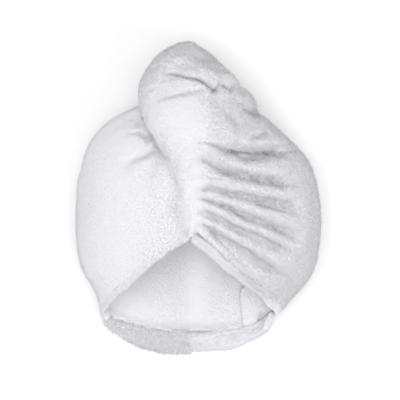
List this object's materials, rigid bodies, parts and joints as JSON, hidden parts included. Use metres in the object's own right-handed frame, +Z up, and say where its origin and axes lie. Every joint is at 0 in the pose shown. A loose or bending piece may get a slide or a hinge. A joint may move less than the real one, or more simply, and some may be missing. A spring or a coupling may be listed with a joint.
{
  "type": "hair turban towel",
  "caption": "Twisted terry turban for wet hair: a hollow hood with a brow opening, pleats along its front seam and a long tail rolled over the crown to a button and loop at the nape.",
  "frame": {"origin": "on the surface, below the middle of the part's box", "axes": "+Z up, from the surface to the front of the turban; +Y towards the crown and the tail's turn; +X towards the pleated side; the opening for the head faces -Y"},
  "size_m": [0.256, 0.3234, 0.1516],
  "materials": {
    "terry": "white terry pile",
    "terry_band": "white terry casing with short pile",
    "terry_hem": "white rolled terry hem",
    "facing_cloth": "smooth white cloth",
    "button_loop": "white"
  },
  "bodies": {
    "root": {"hood_left": "terry", "hood_right": "terry", "tail": "terry", "nape_band": "terry_band", "front_hem_right": "terry_hem", "front_hem_left": "terry_hem", "corner_facing": "facing_cloth", "fastener": "button_loop"}
  },
  "joints": []
}
